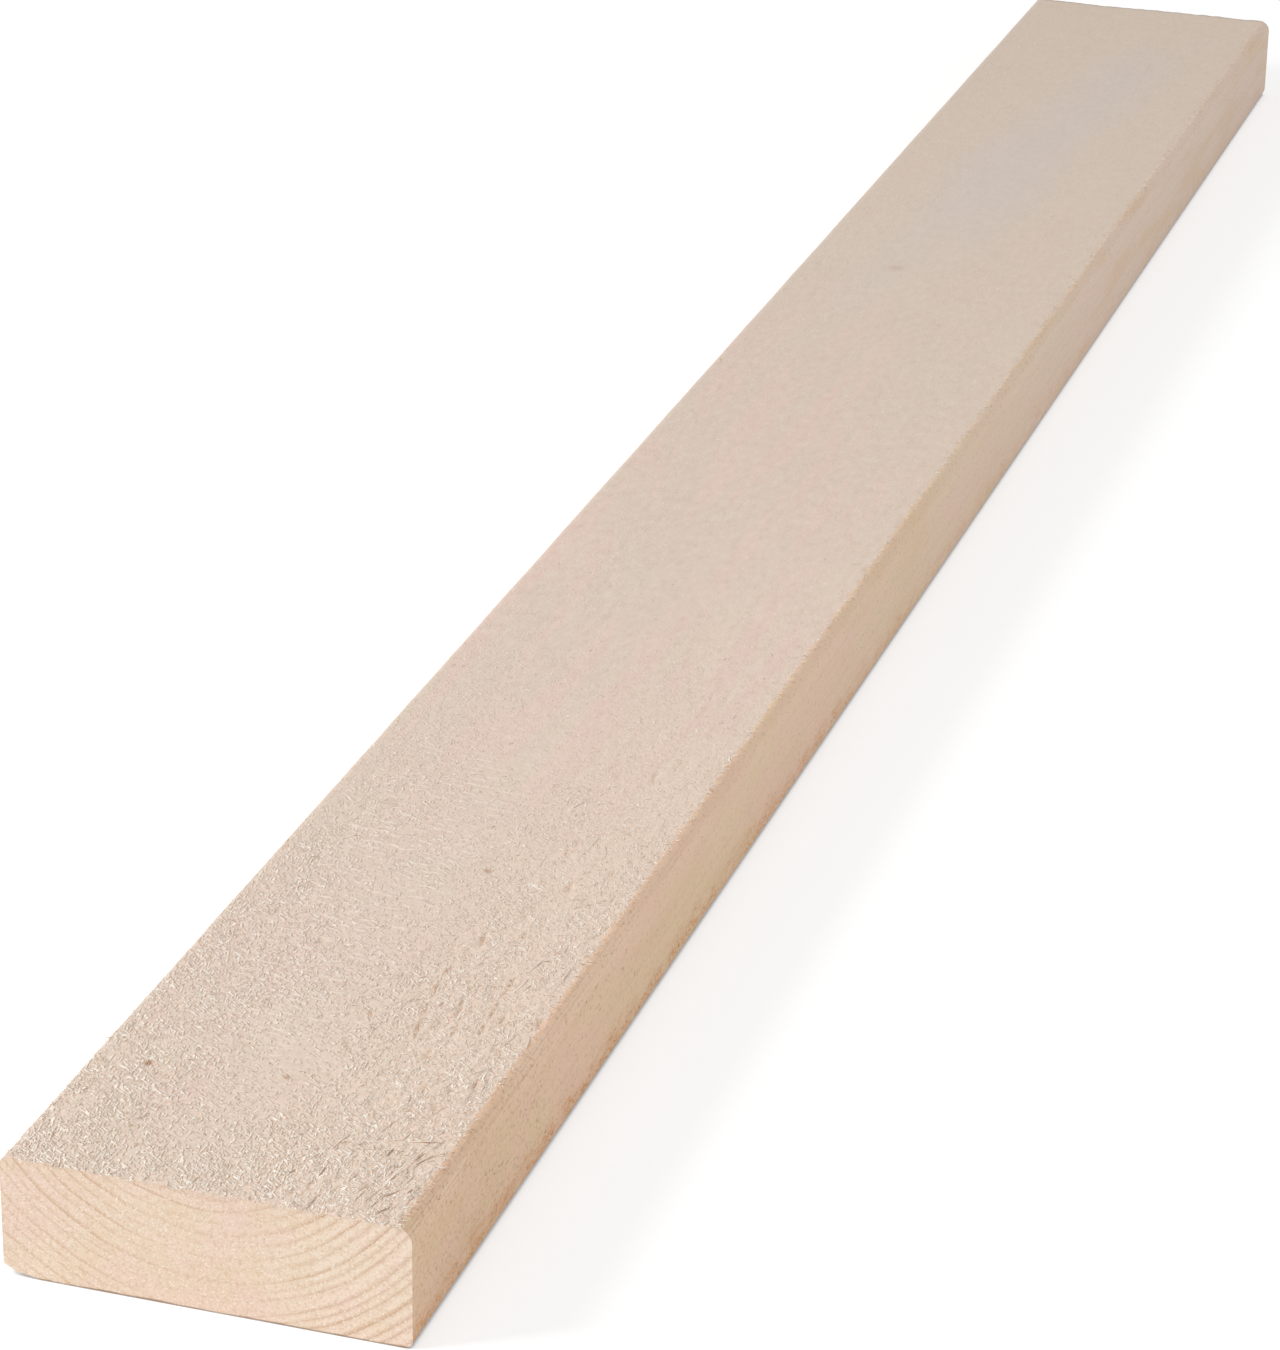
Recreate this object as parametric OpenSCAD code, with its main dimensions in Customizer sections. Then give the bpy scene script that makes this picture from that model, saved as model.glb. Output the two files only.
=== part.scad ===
// Timber plank: two rough-sawn faces, two planed edges, a round planed on each arris.
// Millimetres. X runs across the plank, Y along it, and Z up from the face that it lies on.
// The origin is the middle of that face.

/* [Plank] */
// Width across the sawn faces, from planed edge to planed edge
plank_w = 145; // [70:1:245]
// Thickness between the two sawn faces
plank_t = 45; // [22:1:95]
// Length between the two end cuts
plank_l = 1500; // [300:10:6000]

/* [Arrises] */
// Radius of the arris at the top, right-hand edge
top_right_r = 6; // [0.5:0.5:10]
// Radius of the arris at the top, left-hand edge
top_left_r = 3.5; // [0.5:0.5:10]
// Radius of the arris at the bottom, left-hand edge
bottom_left_r = 4.5; // [0.5:0.5:10]
// Radius of the arris at the bottom, right-hand edge
bottom_right_r = 3; // [0.5:0.5:10]

/* [Hidden] */

// Pale sapwood, as sawn
spruce_colour = [0.87, 0.78, 0.68];

// Segments of a full turn of an arris
$fn = 96;

// How far the arris cutter reaches past the outline of the sawn blank
cutter_overrun = 1;

// One row for each arris: where its sharp corner is, across and up, then
// the turn from the top right-hand corner and the radius
arrises = [
    [plank_w / 2, plank_t, 0, top_right_r],
    [-plank_w / 2, plank_t, 90, top_left_r],
    [-plank_w / 2, 0, 180, bottom_left_r],
    [plank_w / 2, 0, 270, bottom_right_r]
];

// Section of the blank as it leaves the saw
module sawn_blank() {
    translate([-plank_w / 2, 0])
        square([plank_w, plank_t]);
}

// What the cutter takes off a top right-hand arris with its sharp corner at the origin
module arris_waste(r) {
    difference() {
        translate([-r, -r])
            square(r + cutter_overrun);
        translate([-r, -r])
            circle(r);
    }
}

// Section of the finished plank, square to its length
module section() {
    difference() {
        sawn_blank();
        for (arris = arrises)
            translate([arris[0], arris[1]])
                rotate(arris[2])
                    arris_waste(arris[3]);
    }
}

module plank() {
    color(spruce_colour)
        rotate([90, 0, 0])
            linear_extrude(height = plank_l, center = true)
                section();
}

plank();
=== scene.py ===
import math

import bpy
import numpy as np
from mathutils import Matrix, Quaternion, Vector


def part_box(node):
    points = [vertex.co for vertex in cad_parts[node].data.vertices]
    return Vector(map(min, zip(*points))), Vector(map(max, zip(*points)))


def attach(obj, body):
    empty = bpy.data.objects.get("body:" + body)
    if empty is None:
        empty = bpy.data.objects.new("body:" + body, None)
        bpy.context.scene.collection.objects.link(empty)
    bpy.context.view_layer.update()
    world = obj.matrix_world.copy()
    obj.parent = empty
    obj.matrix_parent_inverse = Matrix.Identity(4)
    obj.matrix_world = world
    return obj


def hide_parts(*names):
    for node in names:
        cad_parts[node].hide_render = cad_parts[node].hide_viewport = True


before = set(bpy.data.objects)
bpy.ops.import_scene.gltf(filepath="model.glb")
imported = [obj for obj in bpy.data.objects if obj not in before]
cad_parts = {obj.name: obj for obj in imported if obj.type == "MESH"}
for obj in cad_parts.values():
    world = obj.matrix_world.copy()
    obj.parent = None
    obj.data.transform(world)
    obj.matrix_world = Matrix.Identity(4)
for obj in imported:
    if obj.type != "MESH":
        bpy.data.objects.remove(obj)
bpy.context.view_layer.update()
scene = bpy.context.scene
scene.view_settings.view_transform = "Standard"
mm = 0.001


# screen colour to the linear colour a shader takes: a channel is divided by 255, then by 12.92 where it is
# very dark, and otherwise shifted a little and raised to the power 2.4
def paint(*screen):
    share = np.array(screen) / 255
    linear = np.where(share <= 0.04045, share / 12.92, ((share + 0.055) / 1.055) ** 2.4)
    return (*linear.tolist(), 1.0)


# smooth step: nought below low, one above high, an S curve between
def easeStep(low, high, value):
    t = np.clip((value - low) / (high - low), 0, 1)
    return t * t * (3 - 2 * t)


# gradient noise: each lattice point has a random slope, and the slopes of the four points round a place are
# blended by a quintic fade; the result lies within about one of nought
def slopeNoise(seed, u, v):
    lattice = 128
    turn = np.random.default_rng(seed).random((lattice, lattice)) * 2 * np.pi
    cellU, cellV = np.floor(u).astype(int), np.floor(v).astype(int)
    inU, inV = u - cellU, v - cellV

    # rise along the slope of one lattice point
    def corner(stepU, stepV):
        angle = turn[(cellU + stepU) % lattice, (cellV + stepV) % lattice]
        return np.cos(angle) * (inU - stepU) + np.sin(angle) * (inV - stepV)
    fadeU = inU ** 3 * (inU * (inU * 6 - 15) + 10)
    fadeV = inV ** 3 * (inV * (inV * 6 - 15) + 10)
    near = corner(0, 0) * (1 - fadeU) + corner(1, 0) * fadeU
    far = corner(0, 1) * (1 - fadeU) + corner(1, 1) * fadeU
    return 1.5 * (near * (1 - fadeV) + far * fadeV)


plank = {
    "seed": 451,
    "arrisMm": (6.0, 3.5, 4.5, 3.0),      # top right, top left, bottom left, bottom right
    "arrisSteps": 6,
    "topColumns": 140,
    "edgeColumns": 3,
    "bottomColumns": 16,
    "rowsMm": (1.2, 4.6, 2.8),            # row pitch at the near end, in the middle, at the far end
    "rowReachMm": (300.0, 140.0),         # how far in from each end the pitch is halfway to the middle one
    # where the sawn surface is whole and where it is gone, in from the edge
    "sawnRightMm": (7.4, 3.0),
    "sawnLeftMm": (0.7, 0.05),
    "sawnBelowMm": (4.5, 2.0),
    "wanderMm": 0.35,                     # slow wander of the saw
    "rippleMm": 0.06,                     # ripples across the face
    "ripplePitchMm": 7.0,
    "pebbleMm": 0.30,                     # fuzz of torn fibre ends
    "furrowMm": 0.3,                      # furrows along the grain, right of the middle near the near end
    "tearMm": 0.9,                        # pits where slivers have come away
    "chipMm": 0.9,                        # fibre broken off along the end cuts
    "smoothBandMm": (-6.0, 24.0),         # middle and half width of the better cut band
    "farCalm": 0.7,                       # share of the fuzz that is gone in the far half
    "proudMm": 0.25,                      # no relief stands higher than this
    "bottomRelief": 0.3,                  # share of the relief that the bottom face has
    # small brown stains on top: across, along, radius, strength
    "stainsMm": (
        (-51.1, -675.8, 1.7, 1.0), (-39.2, -717.8, 0.8, 1.0), (-2.6, -669.3, 1.0, 1.0),
        (9.3, -497.8, 1.2, 0.9), (-45.4, -453.9, 3.0, 0.25), (-23.5, 226.3, 4.0, 0.3),
    ),
    # open splits on top: middle across and along, degrees off the length, length
    "splitsMm": (
        (59.9, -741.7, 23, 8.9), (58.9, -730.7, 31, 8.7), (59.0, -705.4, 15, 8.3), (48.7, -705.9, 3, 8.0),
        (32.1, -725.0, 6, 8.0), (22.7, -727.7, 13, 4.0), (63.8, -727.9, 13, 4.2),
    ),
    "splitHalfMm": 0.5,                   # half width
    # torn strips on top: the same four values
    "stripsMm": (
        (22.3, -579.1, 4, 11.0), (23.1, -593.0, -8, 17.0), (24.9, -608.2, -5, 14.0),
        (27.4, -623.5, -12, 17.0), (46.8, -581.8, -1, 20.0), (47.7, -601.6, -4, 19.5),
        (48.7, -616.1, -4, 9.6), (8.0, -618.0, -17, 10.0), (39.8, -619.6, -3, 11.7),
        (57.5, -606.8, 6, 6.0), (21.5, -737.0, 10, 9.0),
    ),
    "stripHalfMm": 1.0,
    "teethPitchMm": 4.2,                  # tooth ridges across the top, left of the middle
    # cool grey cloud on top: middle across and along, degrees off the length, half width, half length
    "coolMm": (-8.0, 410.0, 6.6, 36.0, 310.0),
    "bluntMm": (7.5, 4.0, 26.0),          # worn corner at the bottom left of the near end: across, up, along
}

low, high = (np.array(c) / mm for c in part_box("plank"))
halfWidth, thick = high[0], high[2]
nearEnd, farEnd = low[1], high[1]


# rows along the plank: the row count per millimetre is one over the local pitch, and rows sit at even steps
# of its running sum
def rowPlaces(look):
    samples = 6001
    y = np.linspace(nearEnd, farEnd, samples)
    nearPitch, midPitch, farPitch = look["rowsMm"]
    nearReach, farReach = look["rowReachMm"]
    pitch = nearPitch + (midPitch - nearPitch) * easeStep(0, 2 * nearReach, y - nearEnd)
    pitch += (farPitch - midPitch) * (1 - easeStep(0, 2 * farReach, farEnd - y))
    count = np.concatenate([[0], np.cumsum(0.5 * (1 / pitch[1:] + 1 / pitch[:-1]) * np.diff(y))])
    rows = int(round(count[-1]))
    return np.interp(np.linspace(0, count[-1], rows + 1), count, y)


# outline of the section, once round against the clock seen from the near end: four straight runs joined by
# quarter circles
def sectionLoop(look):
    topRight, topLeft, bottomLeft, bottomRight = look["arrisMm"]
    steps = np.arange(1, look["arrisSteps"]) / look["arrisSteps"]
    left, right = -halfWidth, halfWidth

    # even steps from start to stop
    def run(start, stop, count):
        share = np.linspace(0, 1, count + 1)[:, None]
        return np.array(start) + (np.array(stop) - np.array(start)) * share

    # even turns round a centre, without the two ends of the quarter
    def quarter(x, z, radius, start):
        angle = np.radians(start) + steps * np.pi / 2
        return np.stack([x + radius * np.cos(angle), z + radius * np.sin(angle)], 1)
    return np.concatenate([
        run((left + bottomLeft, 0), (right - bottomRight, 0), look["bottomColumns"]),
        quarter(right - bottomRight, bottomRight, bottomRight, 270),
        run((right, bottomRight), (right, thick - topRight), look["edgeColumns"]),
        quarter(right - topRight, thick - topRight, topRight, 0),
        run((right - topRight, thick), (left + topLeft, thick), look["topColumns"]),
        quarter(left + topLeft, thick - topLeft, topLeft, 90),
        run((left, thick - topLeft), (left, bottomLeft), look["edgeColumns"]),
        quarter(left + bottomLeft, bottomLeft, bottomLeft, 180),
    ])


# share of sawn surface round the section: one on the wide faces, falling to nought part of the way round
# each arris
def sawnShare(look, x, z):
    whole, gone = look["sawnRightMm"]
    right = 1 - easeStep(halfWidth - whole, halfWidth - gone, x)
    whole, gone = look["sawnLeftMm"]
    left = easeStep(-halfWidth + gone, -halfWidth + whole, x)
    whole, gone = look["sawnBelowMm"]
    below = 1 - easeStep(halfWidth - whole, halfWidth - gone, np.abs(x))
    return np.where(z > thick / 2, right * left, below)


# share of torn fibre at a place on a sawn face: about one, less along the better cut band, which drifts, plus
# slow patches, and falling towards the far half
def roughShare(look, x, y):
    middle, reach = look["smoothBandMm"]
    drift = 10 * slopeNoise(look["seed"] + 1, y / 210, 0 * y + 0.5)
    band = np.exp(-(((x - middle - drift) / reach) ** 2))
    patches = slopeNoise(look["seed"] + 2, x / 26, y / 70)
    inwards = easeStep(5, 70, y - nearEnd)
    calm = look["farCalm"] * easeStep(20, 620, y - nearEnd)
    return np.clip(1.05 - (0.15 + 0.38 * inwards) * band + 0.25 * patches, 0.2, 1.2) * (1 - calm)


# depth of the slivers torn out, as a share: long slanted cells of noise above a threshold and short ones at
# less than half strength, most of them on the right and near the near end
def tearShare(look, x, y):
    slant = x + 0.10 * y
    cells = slopeNoise(look["seed"] + 3, slant / 2.3, y / 17)
    short = slopeNoise(look["seed"] + 4, x / 1.9 + 11, y / 6)
    where = 0.30 + 0.70 * easeStep(2, 34, x) + 0.25 * slopeNoise(look["seed"] + 5, x / 30, y / 80)
    where *= 0.04 + 1.16 * (1 - easeStep(60, 560, y - nearEnd))
    return np.clip(easeStep(0.5, 0.95, cells) * where + 0.4 * easeStep(0.55, 1.0, short) * where, 0, 1)


# height of a sawn face in millimetres: saw wander, ripples, fuzz and furrows added together, less the pits
# and the chips, which fade inwards from each end cut
def sawnHeight(look, x, y):
    seed = look["seed"]
    rough, tear = roughShare(look, x, y), tearShare(look, x, y)
    wander = slopeNoise(seed + 6, x / 38, y / 46) + 0.6 * slopeNoise(seed + 7, x / 15, y / 30)
    bent = y + 0.22 * x + 2.5 * slopeNoise(seed + 8, x / 30, y / 40)
    ripple = np.sin(2 * np.pi * bent / look["ripplePitchMm"])
    pebble = slopeNoise(seed + 9, x / 2.4, y / 3.6) + 0.5 * slopeNoise(seed + 10, x / 5, y / 9)
    furrow = slopeNoise(seed + 12, (x - 0.12 * y) / 4.4, y / 30) * easeStep(-8, 40, x)
    furrow *= 1 - easeStep(80, 420, y - nearEnd)
    chip = easeStep(-0.1, 0.7, slopeNoise(seed + 11, x / 5.5, y / 60))
    chip *= np.exp(-(y - nearEnd).clip(0) / 2.2) + 0.3 * np.exp(-(farEnd - y).clip(0) / 2.2)
    height = look["wanderMm"] * 0.7 * wander + look["rippleMm"] * ripple * (1.3 - rough)
    height += look["pebbleMm"] * pebble * rough + look["furrowMm"] * furrow
    height -= look["tearMm"] * tear + look["chipMm"] * chip
    return height, rough, tear


# profile carried along the rows: a sawn face moves by its height times the sawn share, the worn corner is a
# slope that fades along the length as a bell curve, and each end is closed by one flat face; all faces point
# outwards
def buildPlank(look):
    loop = sectionLoop(look)
    rows = rowPlaces(look)
    columnCount, rowCount = len(loop), len(rows)
    x = np.repeat(loop[:, 0][None], rowCount, 0)
    z = np.repeat(loop[:, 1][None], rowCount, 0)
    y = np.repeat(rows[:, None], columnCount, 1)
    share = sawnShare(look, x, z)
    rough, tear, stain = (np.zeros((rowCount, columnCount)) for _ in range(3))
    for side in (1, -1):                  # the top, then the bottom, which is the top turned half round
        on = (share[0] > 0.01) & ((loop[:, 1] > thick / 2) == (side > 0))
        height, fuzz, torn = sawnHeight(look, side * x[:, on], side * y[:, on])
        sink = np.clip(-height, -look["proudMm"], None)
        if side < 0:
            sink = look["bottomRelief"] * np.clip(-height, 0, None)
        z[:, on] -= side * sink * share[:, on]
        rough[:, on] = fuzz
        tear[:, on] = torn * share[:, on]
    across, upward, along = look["bluntMm"]
    worn = upward * np.exp(-((y - nearEnd) / along) ** 2) * (1 - (x + halfWidth) / across)
    z = np.maximum(z, np.where(z < thick / 2, worn, 0))
    for stainX, stainY, radius, strength in look["stainsMm"]:
        apart = (x - stainX) ** 2 + (y - stainY) ** 2
        stain += strength * np.exp(-apart / radius ** 2) * (z > thick / 2)

    verts = np.stack([x, y, z], 2).reshape(-1, 3) * mm
    column, row = np.meshgrid(np.arange(columnCount), np.arange(rowCount - 1))
    after = (column + 1) % columnCount    # the next column round the section
    here, ahead = row * columnCount, (row + 1) * columnCount
    quads = np.stack([here + column, ahead + column, ahead + after, here + after], 2).reshape(-1, 4)
    nearCap = np.arange(columnCount)
    farCap = (rowCount - 1) * columnCount + np.arange(columnCount)[::-1]
    corners = np.concatenate([quads.ravel(), nearCap, farCap])
    starts = np.concatenate([np.arange(len(quads)) * 4, [quads.size, quads.size + columnCount]])
    mesh = bpy.data.meshes.new("sawn_plank")
    mesh.vertices.add(len(verts))
    mesh.vertices.foreach_set("co", verts.ravel())
    mesh.loops.add(len(corners))
    mesh.loops.foreach_set("vertex_index", corners.astype(np.int32))
    mesh.polygons.add(len(starts))
    mesh.polygons.foreach_set("loop_start", starts.astype(np.int32))
    mesh.update(calc_edges=True)

    # finish of each face: 0 sawn, 1 planed, 2 an arris between them, 3 an end cut
    most = np.maximum(share[row, column], share[row, after]).reshape(-1)
    least = np.minimum(share[row, column], share[row, after]).reshape(-1)
    kind = np.where(least > 0.95, 0, np.where(most < 0.05, 1, 2))
    mesh.polygons.foreach_set("material_index", np.concatenate([kind, [3, 3]]).astype(np.int32))
    smooth = np.ones(len(starts), bool)
    smooth[-2:] = False
    mesh.polygons.foreach_set("use_smooth", smooth)
    for name, values in (("sawn", share), ("rough", rough), ("tear", tear), ("stain", stain)):
        attribute = mesh.attributes.new(name, "FLOAT", "POINT")
        attribute.data.foreach_set("value", values.ravel().astype(np.float32))
    mesh.validate()
    piece = bpy.data.objects.new("sawn_plank", mesh)
    scene.collection.objects.link(piece)
    triangles = 2 * len(quads) + 2 * (columnCount - 2)
    print("plank:", rowCount, "rows,", columnCount, "columns,", triangles, "triangles")
    return piece


fibres = {
    "seed": 77,
    "tufts": 7500,                # at most; short and thick, half to three quarters of them along the grain
    "tuftMm": (1.4, 3.6),         # length
    "tuftWideMm": (0.24, 0.5),
    "whiskers": 700,              # at most; thin and any way round
    "whiskerMm": (1.6, 4.5),
    "whiskerWideMm": (0.2, 0.36),
    "longOnes": 70,               # at most; towards the right arris
    "longMm": (5.0, 12.0),
    # the longest, one by one: foot across and along, heading in degrees from +X, length, width
    "singlesMm": (
        (51.8, -696.8, 10, 12.2, 0.8), (64.1, -714.8, -7, 4.7, 0.6), (19.1, -712.3, 1, 6.4, 0.55),
        (54.2, -725.9, 77, 23.8, 0.8), (47.1, -735.2, 70, 9.5, 0.6), (31.4, -725.5, 86, 8.5, 0.6),
    ),
    "splinters": 160,             # at most; flat, along the grain, right of the middle
    "splinterMm": (5.0, 15.0),
    "splinterWideMm": (0.5, 1.1),
    "rightFringe": 900,           # along the line where the planed arris begins
    "endFringe": 90,              # over the near and far end cuts
    "rootShare": 0.22,            # share of its width that a foot lies below the face
}

sliverCorners = 7                 # two rings of three and a tip


# slivers: a centre line leaves the face, rises as lift * s * (1 - fall * s) and bends sideways as s squared;
# a flat three-sided section narrows along it to a point, and the foot is closed below the face
def sliverMesh(foot, heading, length, wide, lift, fall, bend):
    along = np.stack([np.cos(heading), np.sin(heading), 0 * heading], 1)
    aside = np.stack([-np.sin(heading), np.cos(heading), 0 * heading], 1)
    up = np.array([0.0, 0.0, 1.0])

    # place on the centre line at a share s of the length
    def line(s):
        forward = (length * s)[:, None] * along
        rise = (length * (lift * s * (1 - fall * s)))[:, None] * up
        sideways = (length * bend * s * s)[:, None] * aside
        return foot + forward + rise + sideways
    places = []
    for s, slimness in ((0.0, 1.0), (0.55, 0.75)):
        centre = line(np.full(len(length), s))
        half = (wide * slimness / 2)[:, None]
        places += [centre - half * aside, centre + half * aside, centre + 0.75 * half * up]
    verts = np.stack(places + [line(np.ones(len(length)))], 1)
    sides = np.array([(0, 1, 4, 3), (1, 2, 5, 4), (2, 0, 3, 5)])
    tips = np.array([(3, 4, 6), (4, 5, 6), (5, 3, 6), (0, 2, 1)])
    first = (np.arange(len(length)) * sliverCorners)[:, None, None]
    return verts.reshape(-1, 3), (sides[None] + first).reshape(-1, 4), (tips[None] + first).reshape(-1, 3)


# torn fibres on the top face: tufts, whiskers, long ones, splinters, the six longest, and fringes along the
# right arris and the end cuts; all but the fringes and the longest are kept with a chance that follows the
# rough share or the place across, and that falls towards the far half
def buildFibres(look, face):
    rng = np.random.default_rng(look["seed"])
    left, right = -halfWidth + 1.6, halfWidth - face["arrisMm"][0]
    groups = []

    # even random places, each kept with its own chance
    def places(count, chance):
        x = rng.uniform(left, right, count * 5)
        y = rng.uniform(nearEnd + 0.3, farEnd - 1.0, count * 5)
        share = chance(x, y) * (1 - 0.94 * easeStep(60, 620, y - nearEnd))
        chosen = np.flatnonzero(rng.random(count * 5) < share)[:count]
        return x[chosen], y[chosen]

    # a range's low end plus its width times a random share to the power 1.4, so the small ones lead
    def spread(name, count):
        least, most = look[name]
        return least + (most - least) * rng.random(count) ** 1.4

    # one kind of fibre with random size, lift, fall and bend
    def group(x, y, heading, length, wide, lift):
        count = len(x)
        groups.append((x, y, heading, spread(length, count), spread(wide, count), rng.uniform(*lift, count),
                       rng.uniform(0.5, 1.05, count), rng.normal(0, 0.3, count)))

    x, y = places(look["tufts"], lambda x, y: 0.05 + 0.75 * roughShare(face, x, y) ** 2)
    count = len(x)
    along = np.where(rng.random(count) < 0.75, -np.pi / 2, np.pi / 2) + rng.normal(0, 0.45, count)
    across = np.where(rng.random(count) < 0.7, 0.0, np.pi) + rng.normal(-0.5, 0.5, count)
    lengthwise = rng.random(count) < 0.5 + 0.25 * easeStep(0, 50, x)
    group(x, y, np.where(lengthwise, along, across), "tuftMm", "tuftWideMm", (0.18, 0.5))

    x, y = places(look["whiskers"], lambda x, y: 0.08 + 0.6 * roughShare(face, x, y) ** 2)
    group(x, y, rng.uniform(-np.pi, np.pi, len(x)), "whiskerMm", "whiskerWideMm", (0.3, 0.8))

    x, y = places(look["longOnes"], lambda x, y: 0.03 + 0.9 * easeStep(15, 66, x))
    count = len(x)
    heading = np.where(rng.random(count) < 0.5, 0.2, np.pi + 0.2) + rng.normal(0, 0.5, count)
    group(x, y, heading, "longMm", "whiskerWideMm", (0.15, 0.4))

    x, y = places(look["splinters"],
                  lambda x, y: 0.9 * easeStep(8, 50, x) * (1 - easeStep(150, 600, y - nearEnd)))
    count = len(x)
    heading = np.where(rng.random(count) < 0.7, -1, 1) * np.pi / 2 - np.radians(9)
    heading = heading + rng.normal(0, 0.14, count)
    group(x, y, heading, "splinterMm", "splinterWideMm", (0.04, 0.12))

    x, y, turn, length, wide = np.array(look["singlesMm"]).T
    groups.append((x, y, np.radians(turn), length, wide, 0 * x + 0.14, 0 * x + 0.8, 0 * x + 0.06))

    count = look["rightFringe"]
    x = right + rng.normal(0.4, 0.7, count).clip(-2, 1.6)
    y = nearEnd + (farEnd - nearEnd) * rng.random(count) ** 1.5
    group(x, y, rng.normal(-0.5, 0.9, count), "tuftMm", "tuftWideMm", (0.05, 0.45))

    count = look["endFringe"]
    x = rng.uniform(left + 2, right, count)
    far = rng.random(count) < 0.4
    y = np.where(far, farEnd - 0.5, nearEnd + 0.5) + rng.uniform(-0.3, 0.3, count)
    heading = np.where(far, np.pi / 2, -np.pi / 2) + rng.normal(0, 0.6, count)
    group(x, y, heading, "tuftMm", "whiskerWideMm", (-0.05, 0.3))

    x, y, heading, length, wide, lift, fall, bend = (np.concatenate(part) for part in zip(*groups))
    sink = np.clip(-sawnHeight(face, x, y)[0], -face["proudMm"], None) * sawnShare(face, x, thick + 0 * x)
    rightRadius, leftRadius = face["arrisMm"][:2]
    for radius, past in ((rightRadius, x - right), (leftRadius, leftRadius - halfWidth - x)):
        sink += radius - np.sqrt(radius ** 2 - np.clip(past, 0, 0.95 * radius) ** 2)
    foot = np.stack([x, y, thick - sink - look["rootShare"] * wide], 1)
    verts, quads, tris = sliverMesh(foot, heading, length, wide, lift, fall, bend)
    mesh = bpy.data.meshes.new("torn_fibres")
    mesh.from_pydata((verts * mm).tolist(), [], quads.tolist() + tris.tolist())
    mesh.polygons.foreach_set("use_smooth", np.ones(len(mesh.polygons), bool))
    tint = np.repeat(rng.random(len(x)), sliverCorners)
    mesh.attributes.new("tint", "FLOAT", "POINT").data.foreach_set("value", tint.astype(np.float32))
    mesh.validate()
    piece = bpy.data.objects.new("torn_fibres", mesh)
    scene.collection.objects.link(piece)
    print("fibres:", len(x), "slivers,", 2 * len(quads) + len(tris), "triangles")
    return piece


# one node with its settings and inputs, a socket linked and a value set; gives back one of its outputs
def addNode(tree, kind, inputs, output=0, **settings):
    node = tree.nodes.new(kind)
    for name, value in settings.items():
        setattr(node, name, value)
    for name, value in inputs.items():
        socket = node.inputs[name]
        if isinstance(value, bpy.types.NodeSocket):
            tree.links.new(value, socket)
        else:
            socket.default_value = value
    return node.outputs[output] if len(node.outputs) else None


# one step of arithmetic on up to three values
def calc(tree, operation, *values):
    return addNode(tree, "ShaderNodeMath", dict(enumerate(values)), operation=operation)


# first value times the second
def times(tree, first, second):
    return calc(tree, "MULTIPLY", first, second)


# share times gain, plus base
def timesPlus(tree, share, gain, base):
    return calc(tree, "MULTIPLY_ADD", share, gain, base)


# smooth step from toLow at fromLow to toHigh at fromHigh
def fit(tree, value, fromLow, fromHigh, toLow=0.0, toHigh=1.0):
    inputs = {0: value, 1: fromLow, 2: fromHigh, 3: toLow, 4: toHigh}
    return addNode(tree, "ShaderNodeMapRange", inputs, interpolation_type="SMOOTHSTEP")


# under times one less share, plus over times share
def blendColour(tree, share, under, over):
    return addNode(tree, "ShaderNodeMix", {0: share, 6: under, 7: over}, output=2, data_type="RGBA")


# a layer of colour over what is there, at the share times its strength
def layer(tree, colour, share, strength, tone):
    return blendColour(tree, times(tree, share, strength), colour, tone)


# a place taken apart into its distances across, along and up, in metres
def axes(tree, place):
    node = tree.nodes.new("ShaderNodeSeparateXYZ")
    tree.links.new(place, node.inputs[0])
    return tuple(node.outputs)


# length of a vector
def distance(tree, vector):
    return addNode(tree, "ShaderNodeVectorMath", {0: vector}, output=1, operation="LENGTH")


# noise with so many cells per metre each way; the offset keeps the end cuts off the noise's lattice planes
def cloud(tree, place, perMetre, detail=2.0, roughness=0.5):
    inputs = {0: place, 1: perMetre, 2: (17.31, 41.73, 9.17)}
    moved = addNode(tree, "ShaderNodeVectorMath", inputs, operation="MULTIPLY_ADD")
    inputs = {"Vector": moved, "Scale": 1.0, "Detail": detail, "Roughness": roughness}
    return addNode(tree, "ShaderNodeTexNoise", inputs)


# noise drawn out into strokes that run at an angle to the length: the place along each of three turned axes
# is divided by the stroke's width or length
def strokes(tree, place, degrees, wideMm, longMm, detail):
    cosine, sine = math.cos(math.radians(degrees)), math.sin(math.radians(degrees))
    ways = (
        (cosine / wideMm, -sine / wideMm, 0.0),
        (sine / longMm, cosine / longMm, 0.0),
        (0.0, 0.0, 1 / wideMm),
    )
    parts = []
    for way in ways:
        inputs = {0: place, 1: tuple(v / mm for v in way)}
        parts.append(addNode(tree, "ShaderNodeVectorMath", inputs, output=1, operation="DOT_PRODUCT"))
    drawn = addNode(tree, "ShaderNodeCombineXYZ", dict(enumerate(parts)))
    return addNode(tree, "ShaderNodeTexNoise", {"Vector": drawn, "Scale": 1.0, "Detail": detail})


# distance from the middle of an ellipse on the top face, in which its edge is at one
def ellipse(tree, place, x, y, degrees, halfAcross, halfAlong, halfDeep):
    inside = addNode(tree, "ShaderNodeMapping", {
        "Vector": place, "Location": (x, y, thick * mm), "Rotation": (0.0, 0.0, -math.radians(degrees)),
        "Scale": (halfAcross, halfAlong, halfDeep)}, vector_type="TEXTURE")
    return distance(tree, inside)


# empty material with the place on the object
def newMaterial(name):
    material = bpy.data.materials.new(name)
    material.use_nodes = True
    tree = material.node_tree
    tree.nodes.clear()
    place = addNode(tree, "ShaderNodeTexCoord", {}, output=3)
    return material, tree, place


# value that the mesh holds at each corner
def readAttribute(tree, name):
    return addNode(tree, "ShaderNodeAttribute", {}, output=2, attribute_name=name)


# shader and output of a wood finish; height is in metres
def closeMaterial(tree, colour, roughness, height):
    normal = addNode(tree, "ShaderNodeBump", {"Height": height, "Distance": 1.0, "Strength": 1.0})
    shader = addNode(tree, "ShaderNodeBsdfPrincipled", {
        "Base Color": colour, "Roughness": roughness, "Normal": normal, "Specular IOR Level": 0.25})
    addNode(tree, "ShaderNodeOutputMaterial", {"Surface": shader})


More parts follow.
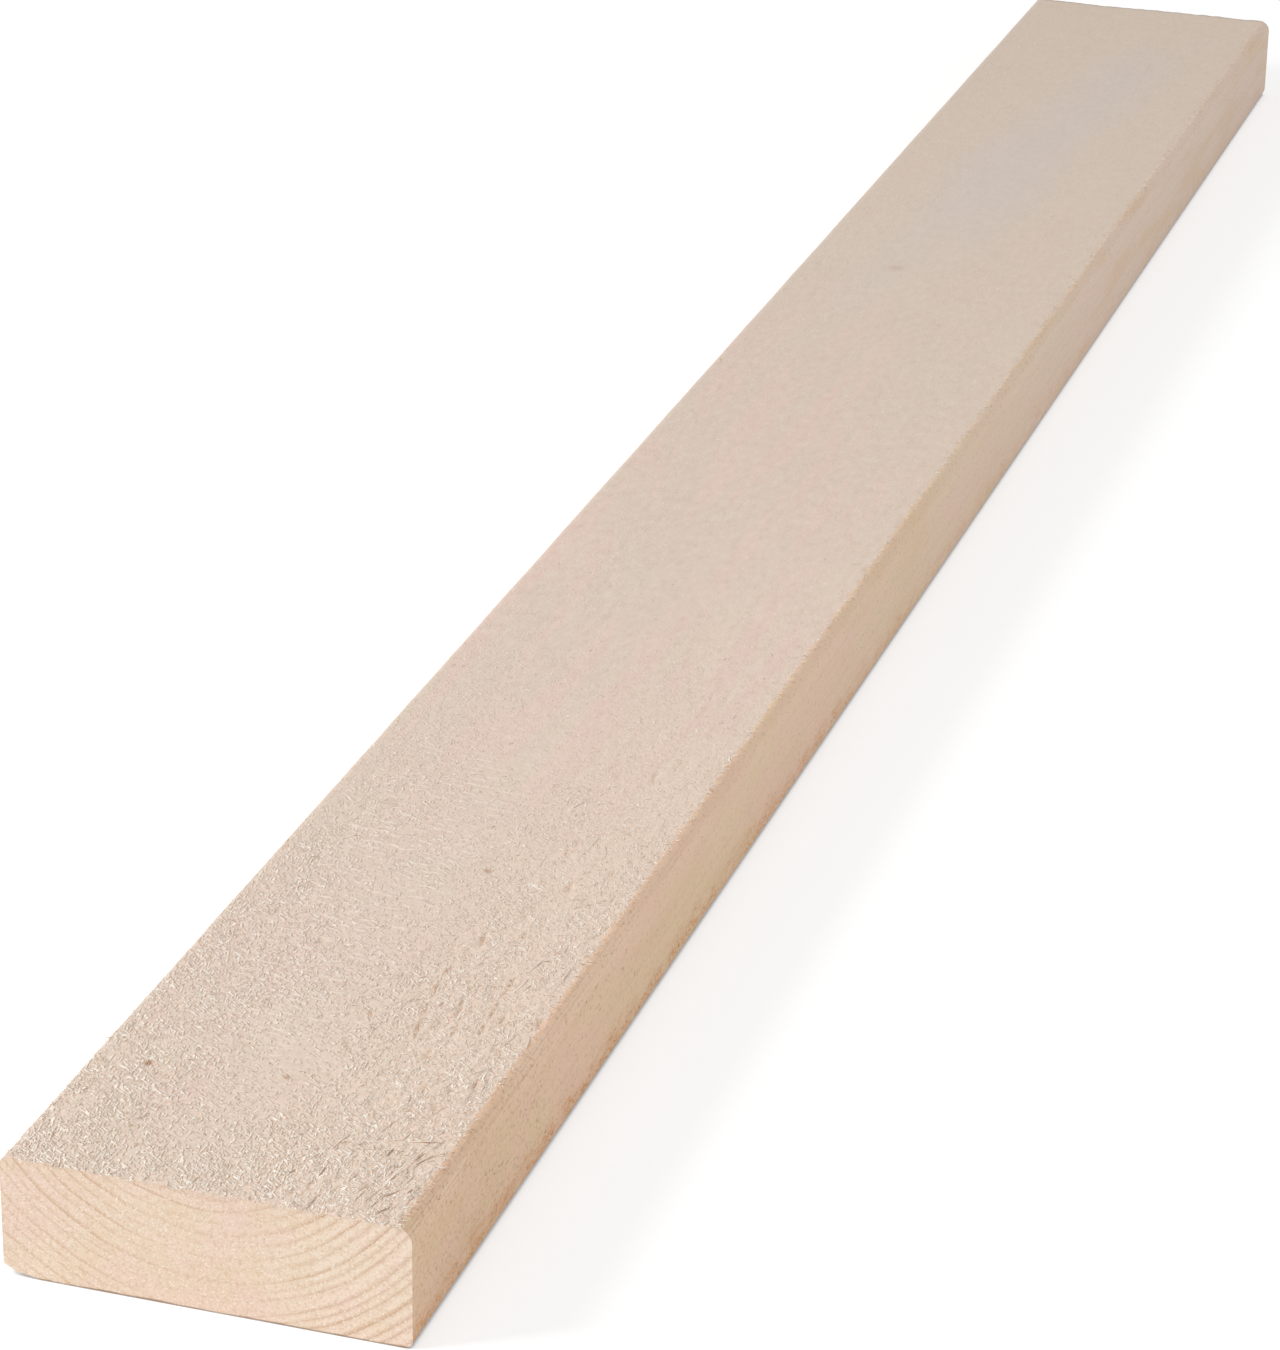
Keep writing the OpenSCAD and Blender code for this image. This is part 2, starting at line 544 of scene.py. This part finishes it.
rings = {
    "pithMm": (-1.0, 96.0),       # where the middle of the log was, across and up
    "perMetre": 225.0,            # rings per metre at the inner radius
    "innerMm": 51.0,
    "closing": 320.0,             # rings lie closer further out
    "wander": 1.0,
    "uneven": 0.70,               # some rings wider than others
}


# growth rings: the phase is the distance to the log's axis times rings per metre, plus a square that closes
# them up outwards, plus slow noise; late wood is the dark end of each whole turn, at a random strength
def ringPattern(tree, place, look):
    pithX, pithZ = (v * mm for v in look["pithMm"])
    inputs = {0: place, 1: (pithX, 0.0, pithZ)}
    offset = addNode(tree, "ShaderNodeVectorMath", inputs, operation="SUBTRACT")
    flat = addNode(tree, "ShaderNodeVectorMath", {0: offset, 1: (1.0, 0.0, 1.0)}, operation="MULTIPLY")
    radius = distance(tree, flat)
    past = calc(tree, "SUBTRACT", radius, look["innerMm"] * mm)
    closing = times(tree, times(tree, past, past), look["closing"])
    wander = cloud(tree, place, (26.0, 1.6, 26.0))
    inputs = {"W": times(tree, radius, 150.0), "Scale": 1.0, "Detail": 1.0}
    uneven = addNode(tree, "ShaderNodeTexNoise", inputs, noise_dimensions="1D")
    phase = timesPlus(tree, radius, look["perMetre"], closing)
    phase = timesPlus(tree, wander, look["wander"], phase)
    phase = timesPlus(tree, uneven, look["uneven"], phase)
    whole = calc(tree, "FLOOR", phase)
    turn = calc(tree, "SUBTRACT", phase, whole)
    late = times(tree, fit(tree, turn, 0.60, 0.93), fit(tree, turn, 1.0, 0.95))
    chance = addNode(tree, "ShaderNodeTexWhiteNoise", {"W": whole}, noise_dimensions="1D")
    return times(tree, late, timesPlus(tree, chance, 0.6, 0.4)), turn, radius


# the pit tones and the split tone are darker partly as painted shade, and the ridge tone is paler as a
# painted highlight
sawnTones = {
    "beige": paint(227, 209, 192),
    "rose": paint(229, 206, 192),
    "calm": paint(223, 206, 190),
    "cool": paint(217, 206, 199),
    "pink": paint(237, 214, 196),
    "blush": paint(230, 204, 191),
    "mottleDark": paint(196, 174, 154),
    "mottleBright": paint(242, 230, 216),
    "grainDark": paint(196, 160, 128),
    "fineDark": paint(190, 150, 116),
    "fineBright": paint(253, 242, 228),
    "pitAndShade": paint(184, 138, 100),
    "lip": paint(255, 246, 234),
    "ridgeAndHighlight": paint(246, 233, 218),
    "longPitAndShade": paint(168, 122, 82),
    "tear": paint(198, 158, 118),
    "strip": paint(198, 154, 108),
    "splitAndShade": paint(160, 114, 74),
    "stain": paint(168, 108, 58),
}


# lifted fibres: strokes of noise plus bias, above a threshold; each stands over the pit that it came out of,
# which is the same stroke moved to the right, the side away from the light; the pit's dark colour is partly
# a real pit and partly painted shade
def lips(tree, place, bias, degrees, wideMm, longMm, shiftMm):
    moved = addNode(tree, "ShaderNodeVectorMath", {0: place, 1: (-shiftMm * mm, 0.0, 0.0)})
    shares = []
    for at in (place, moved):
        level = calc(tree, "ADD", strokes(tree, at, degrees, wideMm, longMm, 0.5), bias)
        shares.append(fit(tree, level, 0.59, 0.66))
    lip, pitAndShade = shares
    return lip, times(tree, pitAndShade, calc(tree, "SUBTRACT", 1.0, lip))


# ridges that the teeth leave across the face: crests of a sine along the length, bent by slow noise, broken
# up by patches, and kept to a band left of the middle
def teeth(tree, place, look):
    across, along = axes(tree, place)[:2]
    turns = 2 * math.pi / (look["teethPitchMm"] * mm)
    inputs = {0: place, 1: (0.17 * turns, turns, 0.0)}
    phase = addNode(tree, "ShaderNodeVectorMath", inputs, output=1, operation="DOT_PRODUCT")
    bent = timesPlus(tree, cloud(tree, place, (130.0, 90.0, 130.0)), 11.0, phase)
    crest = fit(tree, calc(tree, "SINE", bent), -0.2, 1.0)
    broken = fit(tree, cloud(tree, place, (150.0, 260.0, 150.0), 1.0), 0.46, 0.60)
    band = times(tree, fit(tree, across, -0.066, -0.048), fit(tree, across, 0.012, -0.012))
    reach = times(tree, fit(tree, along, -0.70, -0.62), fit(tree, along, -0.30, -0.50))
    return times(tree, times(tree, crest, broken), times(tree, band, reach))


# splits and strips: each is a long thin ellipse on the top face, and noise pushes its edge to and fro
def slits(tree, place, grain, marks, halfMm):
    push, deep = 0.9 * mm, 10 * mm
    aside = addNode(tree, "ShaderNodeCombineXYZ", {0: times(tree, grain, push)})
    ragged = addNode(tree, "ShaderNodeVectorMath", {0: place, 1: aside})
    nearest = 9.0
    for x, y, degrees, length in marks:
        away = ellipse(tree, ragged, x * mm + push / 2, y * mm, degrees, halfMm * mm, length / 2 * mm, deep)
        nearest = calc(tree, "MINIMUM", away, nearest)
    return fit(tree, nearest, 1.0, 0.5)


# ground colour of the sawn faces: beige and rose clouds, calmer further along, then a cool cloud, pink on the
# right, blush lengths and a fine mottle, each laid over the last
def sawnGround(tree, place, look, tones):
    across, along = axes(tree, place)[:2]
    patch = cloud(tree, place, (34.0, 14.0, 34.0), 3.0, 0.6)
    colour = blendColour(tree, fit(tree, patch, 0.35, 0.68), tones["beige"], tones["rose"])
    colour = blendColour(tree, fit(tree, along, -0.70, -0.25, 0.0, 0.8), colour, tones["calm"])
    x, y, degrees, halfAcross, halfAlong = look["coolMm"]
    away = ellipse(tree, place, x * mm, y * mm, degrees, halfAcross * mm, halfAlong * mm, 50 * mm)
    away = timesPlus(tree, cloud(tree, place, (16.0, 6.0, 16.0)), 1.4, away)
    colour = blendColour(tree, fit(tree, away, 1.9, 0.9, 0.0, 0.55), colour, tones["cool"])
    pink = times(tree, fit(tree, across, -0.02, 0.05), fit(tree, along, 0.1, -0.6))
    colour = layer(tree, colour, pink, 0.6, tones["pink"])
    blush = fit(tree, cloud(tree, place, (70.0, 6.0, 70.0), 3.0, 0.6), 0.47, 0.64)
    blush = times(tree, blush, times(tree, fit(tree, along, -0.55, -0.35), fit(tree, along, 0.25, 0.0)))
    colour = layer(tree, colour, blush, 0.75, tones["blush"])
    mottle = cloud(tree, place, (260.0, 130.0, 260.0), 3.0, 0.65)
    further = times(tree, fit(tree, along, -0.6, -0.25), fit(tree, along, 0.4, -0.1, 0.5, 1.0))
    dark, bright = fit(tree, mottle, 0.50, 0.30), fit(tree, mottle, 0.50, 0.70)
    colour = layer(tree, colour, dark, times(tree, further, 0.2), tones["mottleDark"])
    return layer(tree, colour, bright, times(tree, further, 0.22), tones["mottleBright"])


# sawn wood: on the ground colour lie fine dark and bright noise where the cut is rough, pits and the paler
# fibres over them, tooth ridges, long pits on the right near the near end, then torn places, strips, splits
# and stains; the pits, long pits and splits are darkened partly as painted shade, and the ridge crests are
# paled as a painted highlight; the height is each share times its own rise, added up
def sawnLook(tree, place):
    tones = sawnTones
    across, along = axes(tree, place)[:2]
    tear, stain = readAttribute(tree, "tear"), readAttribute(tree, "stain")
    clump = cloud(tree, place, (110.0, 60.0, 110.0), 2.0, 0.6)
    rough = times(tree, readAttribute(tree, "rough"), fit(tree, clump, 0.34, 0.66, 0.7, 1.2))
    grain = cloud(tree, place, (640.0, 420.0, 640.0), 2.0, 0.6)
    fine = cloud(tree, place, (1500.0, 700.0, 1500.0), 2.0, 0.6)
    wool = timesPlus(tree, rough, 0.65, fit(tree, along, -0.2, -0.6, 0.0, 0.35))
    onRight = fit(tree, across, 0.0, 0.055)
    bias = timesPlus(tree, onRight, -0.03, timesPlus(tree, rough, 0.15, -0.15))
    longBias = timesPlus(tree, times(tree, onRight, fit(tree, along, -0.55, -0.74)), 0.24, -0.30)
    lipA, pitAndShadeA = lips(tree, place, bias, -58.0, 0.58, 3.8, 0.6)
    lipB, pitAndShadeB = lips(tree, place, bias, -8.0, 0.6, 3.2, 0.55)
    longLip, longPitAndShade = lips(tree, place, longBias, 11.0, 0.7, 15.0, 0.5)
    lip = times(tree, calc(tree, "MAXIMUM", lipA, lipB), fit(tree, along, -0.70, 0.05, 1.0, 0.35))
    pitAndShade = times(tree, calc(tree, "MAXIMUM", pitAndShadeA, pitAndShadeB), fit(tree, along, -0.70, -0.15, 1.0, 0.25))
    pitAndShade = times(tree, pitAndShade, fit(tree, onRight, 0.0, 1.0, 1.0, 0.65))
    ridgeAndHighlight = teeth(tree, place, plank)
    strip = slits(tree, place, grain, plank["stripsMm"], plank["stripHalfMm"])
    strip = times(tree, strip, fit(tree, grain, 0.40, 0.58, 0.15, 1.0))
    splitAndShade = slits(tree, place, grain, plank["splitsMm"], plank["splitHalfMm"])
    colour = sawnGround(tree, place, plank, tones)
    layers = (
        (times(tree, fit(tree, grain, 0.46, 0.30), rough), 0.25, "grainDark"),
        (times(tree, fit(tree, fine, 0.47, 0.30), wool), 0.5, "fineDark"),
        (times(tree, fit(tree, fine, 0.54, 0.70), wool), 0.5, "fineBright"),
        # painted shade: the pits lie right of their fibres, away from the light
        (pitAndShade, 0.62, "pitAndShade"),
        (lip, 0.9, "lip"),
        # painted highlight: the ridge crests are paled
        (ridgeAndHighlight, 0.5, "ridgeAndHighlight"),
        # painted shade: the long pits lie right of their long fibres
        (longPitAndShade, 0.5, "longPitAndShade"),
        (tear, 0.6, "tear"),
        (strip, 0.6, "strip"),
        # painted shade: the open splits are darkened
        (splitAndShade, 0.75, "splitAndShade"),
        (stain, 0.85, "stain"),
    )
    for share, strength, tone in layers:
        colour = layer(tree, colour, share, strength, tones[tone])
    height = times(tree, timesPlus(tree, grain, 0.0006, -0.0003), rough)
    risesMm = (
        (lip, 0.18), (pitAndShade, -0.1), (longLip, 0.2), (longPitAndShade, -0.1),
        (ridgeAndHighlight, 0.16), (splitAndShade, -0.3), (strip, 0.2),
    )
    for share, riseMm in risesMm:
        height = timesPlus(tree, share, riseMm * mm, height)
    return colour, fit(tree, grain, 0.3, 0.7, 0.95, 0.82), height


planedTones = {
    "tan": paint(234, 205, 168),
    "peach": paint(238, 202, 174),
    "near": paint(225, 191, 159),
    "far": paint(233, 212, 197),
    "yellow": paint(227, 196, 158),
    "rosy": paint(237, 198, 174),
    "ringLine": paint(196, 156, 118),
    "streakDark": paint(200, 162, 128),
    "streakBright": paint(236, 212, 188),
    "scratchBright": paint(242, 217, 190),
    "scratchDark": paint(198, 160, 124),
    "speckDark": paint(184, 148, 114),
    "speckBright": paint(250, 224, 196),
    "foot": paint(214, 158, 106),
    "rust": paint(160, 100, 54),
    "fleck": paint(118, 64, 26),
    # painted shade for the dark line along the bottom edge
    "paintedContactShade": paint(120, 84, 56),
}


# planed wood: tan and peach clouds, darker at the near end and paler further along, with yellow and rosy
# clouds, hardly any ring lines, streaks, planer scratches by the top arris, fine specks, an orange foot with
# rust in it, dark flecks, and painted shade: a dark line along the bottom where it lies on the ground
def planedLook(tree, place):
    tones = planedTones
    along, up = axes(tree, place)[1:]
    late = ringPattern(tree, place, rings)[0]
    patch = cloud(tree, place, (14.0, 9.0, 34.0))
    yellow = cloud(tree, place, (40.0, 11.0, 70.0))
    rosy = cloud(tree, place, (60.0, 38.0, 90.0))
    streak = cloud(tree, place, (760.0, 9.0, 760.0), 3.0, 0.6)
    speck = cloud(tree, place, (820.0, 520.0, 820.0), 2.0, 0.6)
    pore = cloud(tree, place, (800.0, 400.0, 800.0), 1.0)
    scratch = cloud(tree, place, (2600.0, 16.0, 2600.0), 1.0)
    many = cloud(tree, place, (80.0, 40.0, 110.0))
    close = fit(tree, along, -0.3, -0.6, 0.15, 1.0)
    arris = times(tree, fit(tree, up, 0.034, 0.041), close)
    foot = cloud(tree, place, (220.0, 70.0, 220.0), 6.0, 0.8)
    foot = fit(tree, timesPlus(tree, up, -22.0, foot), 0.24, 0.46)
    foot = times(tree, foot, fit(tree, speck, 0.42, 0.56, 0.1, 1.0))
    foot = times(tree, foot, fit(tree, along, 0.3, -0.6, 0.3, 1.0))
    fleck = times(tree, fit(tree, pore, 0.64, 0.73), fit(tree, many, 0.47, 0.66))
    colour = blendColour(tree, fit(tree, patch, 0.38, 0.62), tones["tan"], tones["peach"])
    layers = (
        (fit(tree, along, -0.60, -0.72, 0.0, 0.9), "near"),
        (fit(tree, along, -0.73, 0.6, 0.0, 0.85), "far"),
        (fit(tree, yellow, 0.45, 0.72, 0.0, 0.55), "yellow"),
        (times(tree, fit(tree, rosy, 0.48, 0.66, 0.0, 0.5), close), "rosy"),
        (times(tree, late, 0.10), "ringLine"),
        (fit(tree, streak, 0.52, 0.8, 0.0, 0.22), "streakDark"),
        (fit(tree, streak, 0.48, 0.22, 0.0, 0.14), "streakBright"),
        (times(tree, arris, fit(tree, scratch, 0.50, 0.62, 0.0, 0.5)), "scratchBright"),
        (times(tree, arris, fit(tree, scratch, 0.46, 0.36, 0.0, 0.18)), "scratchDark"),
        (times(tree, fit(tree, speck, 0.48, 0.26), fit(tree, along, -0.45, -0.68, 0.42, 0.62)), "speckDark"),
        (times(tree, fit(tree, speck, 0.52, 0.72), fit(tree, along, -0.45, -0.68, 0.0, 0.25)), "speckBright"),
        (foot, "foot"),
        (times(tree, foot, fit(tree, pore, 0.54, 0.66, 0.0, 0.4)), "rust"),
        (times(tree, fleck, times(tree, close, 0.55)), "fleck"),
        # painted shade: darker over the last few millimetres above the ground
        (fit(tree, up, 0.0025, 0.0010, 0.0, 0.75), "paintedContactShade"),
    )
    for share, tone in layers:
        colour = blendColour(tree, share, colour, tones[tone])
    height = timesPlus(tree, pore, -0.00005, times(tree, streak, 0.00012))
    height = timesPlus(tree, speck, 0.00008, height)
    height = timesPlus(tree, times(tree, arris, scratch), 0.00002, height)
    return colour, fit(tree, streak, 0.3, 0.7, 0.62, 0.5), height


# material of one look and nothing else
def plainFinish(name, look):
    material, tree, place = newMaterial(name)
    closeMaterial(tree, *look(tree, place))
    return material


# arrises: sawn wood by the wide face and planed wood by the edge, with a line between them where the sawn
# share plus noise passes a half, and a warm rim of painted shade beside it, on the planed side of the line
def arrisFinish():
    material, tree, place = newMaterial("arris")
    along = axes(tree, place)[1]
    sawn, planed = sawnLook(tree, place), planedLook(tree, place)
    ragged = cloud(tree, place, (330.0, 130.0, 330.0), 3.0, 0.6)
    edge = calc(tree, "ADD", readAttribute(tree, "sawn"), timesPlus(tree, ragged, 1.2, -0.6))
    share = fit(tree, edge, 0.26, 0.74)
    # painted shade: a warm darker rim along the line, strongest near the near end
    rimShade = times(tree, fit(tree, edge, 0.05, 0.4), fit(tree, ragged, 0.42, 0.6, 0.1, 0.6))
    rimShade = times(tree, rimShade, fit(tree, along, -0.2, -0.6, 0.2, 1.0))
    colour = blendColour(tree, rimShade, planed[0], paint(232, 190, 158))
    colour = blendColour(tree, share, colour, sawn[0])
    roughness = addNode(tree, "ShaderNodeMix", {0: share, 2: planed[1], 3: sawn[1]})
    height = addNode(tree, "ShaderNodeMix", {0: share, 2: planed[2], 3: sawn[2]})
    closeMaterial(tree, colour, roughness, height)
    return material


endTones = {
    "cream": paint(237, 215, 193),
    "rose": paint(238, 211, 193),
    "yellow": paint(234, 210, 182),
    "early": paint(250, 231, 211),
    "ringLine": paint(210, 174, 141),
    "grit": paint(208, 174, 140),
    "cell": paint(254, 243, 230),
    # painted shade along the bottom of the end cut
    "paintedContactShade": paint(128, 94, 66),
}


# end grain: cream with thin tan lines of late wood round the log's axis, clear near the axis and towards both
# edges and faint between, paler early wood on the right, rose and yellow clouds, grit, bright cell specks,
# and painted shade: a dark line along the bottom where it lies on the ground
def endFinish():
    tones = endTones
    material, tree, place = newMaterial("end_grain")
    across, up = axes(tree, place)[::2]
    late, turn, radius = ringPattern(tree, place, rings)
    patch = cloud(tree, place, (34.0, 34.0, 52.0))
    yellow = cloud(tree, place, (70.0, 70.0, 80.0))
    hidden = cloud(tree, place, (24.0, 24.0, 40.0), 1.0)
    cell = cloud(tree, place, (1700.0, 400.0, 1700.0), 2.0, 0.7)
    grit = cloud(tree, place, (800.0, 200.0, 800.0), 2.0, 0.6)
    outer = fit(tree, calc(tree, "ABSOLUTE", across), 0.008, 0.046)
    clear = calc(tree, "MAXIMUM", outer, fit(tree, radius, 0.064, 0.056))
    clear = times(tree, timesPlus(tree, clear, 0.66, 0.22), fit(tree, hidden, 0.3, 0.6, 0.6, 1.0))
    toRight = fit(tree, across, 0.012, 0.05)
    early = times(tree, fit(tree, turn, 0.05, 0.3), fit(tree, turn, 0.7, 0.5))
    colour = blendColour(tree, fit(tree, patch, 0.36, 0.64), tones["cream"], tones["rose"])
    layers = (
        (fit(tree, yellow, 0.42, 0.72, 0.0, 0.7), "yellow"),
        (times(tree, early, times(tree, toRight, 0.45)), "early"),
        (times(tree, late, timesPlus(tree, toRight, 0.15, clear)), "ringLine"),
        (fit(tree, grit, 0.54, 0.25, 0.0, 0.42), "grit"),
        (times(tree, fit(tree, cell, 0.53, 0.68), fit(tree, grit, 0.36, 0.58, 0.2, 1.0)), "cell"),
        # painted shade: darker along the bottom, with a ragged top edge
        (fit(tree, timesPlus(tree, yellow, 0.0016, up), 0.0015, 0.0009, 0.0, 0.7), "paintedContactShade"),
    )
    for share, tone in layers:
        colour = blendColour(tree, share, colour, tones[tone])
    height = timesPlus(tree, grit, 0.0002, times(tree, cell, 0.00025))
    closeMaterial(tree, colour, fit(tree, cell, 0.3, 0.7, 0.9, 0.75), height)
    return material


# loose fibres: from the face's colour to nearly white, each with its own tint, and a little darker grain
def fibreFinish():
    material, tree, place = newMaterial("loose_fibre")
    tint = readAttribute(tree, "tint")
    grain = cloud(tree, place, (1200.0, 600.0, 1200.0))
    colour = blendColour(tree, fit(tree, tint, 0.0, 1.0), paint(230, 211, 192), paint(252, 243, 231))
    colour = blendColour(tree, fit(tree, grain, 0.5, 0.75, 0.0, 0.3), colour, paint(206, 180, 154))
    roughness = fit(tree, grain, 0.3, 0.7, 0.9, 0.8)
    closeMaterial(tree, colour, roughness, times(tree, grain, 0.00005))
    return material


plankPiece = buildPlank(plank)
plankPiece.data.materials.append(plainFinish("sawn_face", sawnLook))
plankPiece.data.materials.append(plainFinish("planed_edge", planedLook))
plankPiece.data.materials.append(arrisFinish())
plankPiece.data.materials.append(endFinish())
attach(plankPiece, "root")
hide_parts("plank")

fibrePiece = buildFibres(fibres, plank)
fibrePiece.data.materials.append(fibreFinish())
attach(fibrePiece, "root")
print("pieces and finishes made")

studio = {
    "floorSize": 24.0,
    "floorDrop": 0.0002,                   # gap below the plank
    "gapReach": 0.004,                     # how near the floor something has to be to dim it
    "skyStrength": 0.55,
    "keyPlace": (-2.45, -1.95, 1.8),
    "keyAim": (0.0, -0.45, 0.03),
    "keySize": 1.0,
    "keyWatts": 75.0,
    "fillPlace": (2.6, -1.6, 1.5),
    "fillAim": (0.0, -0.1, 0.03),
    "fillSize": 2.4,
    "fillWatts": 20.0,
    "cameraPlace": (0.51875, -1.95033, 0.80819),
    "cameraTurn": (-17.25, -23.92, 0.94),  # degrees round from +Y towards +X, up, and roll
    "lensMm": 122.80,
    "sensorMm": 36.0,
}


# one for rays that show a background, straight or in a reflection, and nought for rays that bring light
def seenDirectly(tree):
    path = tree.nodes.new("ShaderNodeLightPath").outputs
    through = calc(tree, "MAXIMUM", path["Is Glossy Ray"], path["Is Transmission Ray"])
    return calc(tree, "MAXIMUM", path["Is Camera Ray"], through)


# floor: a flat white sheet; the camera sees part of it as plain white so that the ground stays white, and the
# rest takes light, so the shadow stays; both are dimmed as painted contact shade where something hangs over
# it within a few millimetres
def buildFloor(look):
    half, drop = look["floorSize"] / 2, look["floorDrop"]
    mesh = bpy.data.meshes.new("floor")
    corners = [(-half, -half, -drop), (half, -half, -drop), (half, half, -drop), (-half, half, -drop)]
    mesh.from_pydata(corners, [], [(0, 1, 2, 3)])
    floor = bpy.data.objects.new("floor", mesh)
    scene.collection.objects.link(floor)
    material = bpy.data.materials.new("floor_white")
    material.use_nodes = True
    tree = material.node_tree
    tree.nodes.clear()
    plain = addNode(tree, "ShaderNodeBsdfDiffuse", {"Color": (0.82, 0.82, 0.82, 1)})
    # painted contact shade: an occlusion test darkens the floor's grey and lowers its glow under overhangs
    gap = addNode(tree, "ShaderNodeAmbientOcclusion", {"Distance": look["gapReach"]}, output=1, samples=8)
    clear = fit(tree, gap, 0.30, 0.58)
    paintedShadeGrey = blendColour(tree, clear, (0.3, 0.3, 0.3, 1), (0.5, 0.5, 0.5, 1))
    lit = addNode(tree, "ShaderNodeBsdfDiffuse", {"Color": paintedShadeGrey})
    strength = fit(tree, clear, 0.0, 1.0, 0.25, 0.62)
    glow = addNode(tree, "ShaderNodeEmission", {"Color": (1, 1, 1, 1), "Strength": strength})
    both = addNode(tree, "ShaderNodeAddShader", {0: lit, 1: glow})
    mixed = addNode(tree, "ShaderNodeMixShader", {0: seenDirectly(tree), 1: plain, 2: both})
    addNode(tree, "ShaderNodeOutputMaterial", {"Surface": mixed})
    mesh.materials.append(material)


# sky: even white light at its own strength, seen as plain white
def buildSky(look):
    world = bpy.data.worlds.new("studio_sky")
    scene.world = world
    world.use_nodes = True
    tree = world.node_tree
    tree.nodes.clear()
    light = addNode(tree, "ShaderNodeBackground", {"Color": (1, 1, 1, 1), "Strength": look["skyStrength"]})
    white = addNode(tree, "ShaderNodeBackground", {"Color": (1, 1, 1, 1), "Strength": 1.0})
    mixed = addNode(tree, "ShaderNodeMixShader", {0: seenDirectly(tree), 1: light, 2: white})
    addNode(tree, "ShaderNodeOutputWorld", {"Surface": mixed})


# square lamp that faces its aim
def addSoftbox(look, name):
    lamp = bpy.data.lights.new(name, "AREA")
    lamp.shape = "SQUARE"
    lamp.size = look[name + "Size"]
    lamp.energy = look[name + "Watts"]
    box = bpy.data.objects.new(name, lamp)
    box.location = look[name + "Place"]
    facing = Vector(look[name + "Aim"]) - Vector(look[name + "Place"])
    box.rotation_euler = facing.to_track_quat("-Z", "Y").to_euler()
    scene.collection.objects.link(box)


# camera: the direction ahead comes from its turn and rise, and the roll is a turn about that direction
def addCamera(look):
    data = bpy.data.cameras.new("camera")
    data.lens = look["lensMm"]
    data.sensor_width = look["sensorMm"]
    data.clip_start = 0.01
    data.clip_end = 100.0
    camera = bpy.data.objects.new("camera", data)
    turn, rise, roll = (math.radians(a) for a in look["cameraTurn"])
    ahead = Vector((math.sin(turn) * math.cos(rise), math.cos(turn) * math.cos(rise), math.sin(rise)))
    camera.location = look["cameraPlace"]
    camera.rotation_euler = (ahead.to_track_quat("-Z", "Y") @ Quaternion((0, 0, 1), roll)).to_euler()
    scene.collection.objects.link(camera)
    scene.camera = camera


buildFloor(studio)
buildSky(studio)
addSoftbox(studio, "key")
addSoftbox(studio, "fill")
addCamera(studio)
print("floor, light and camera set")
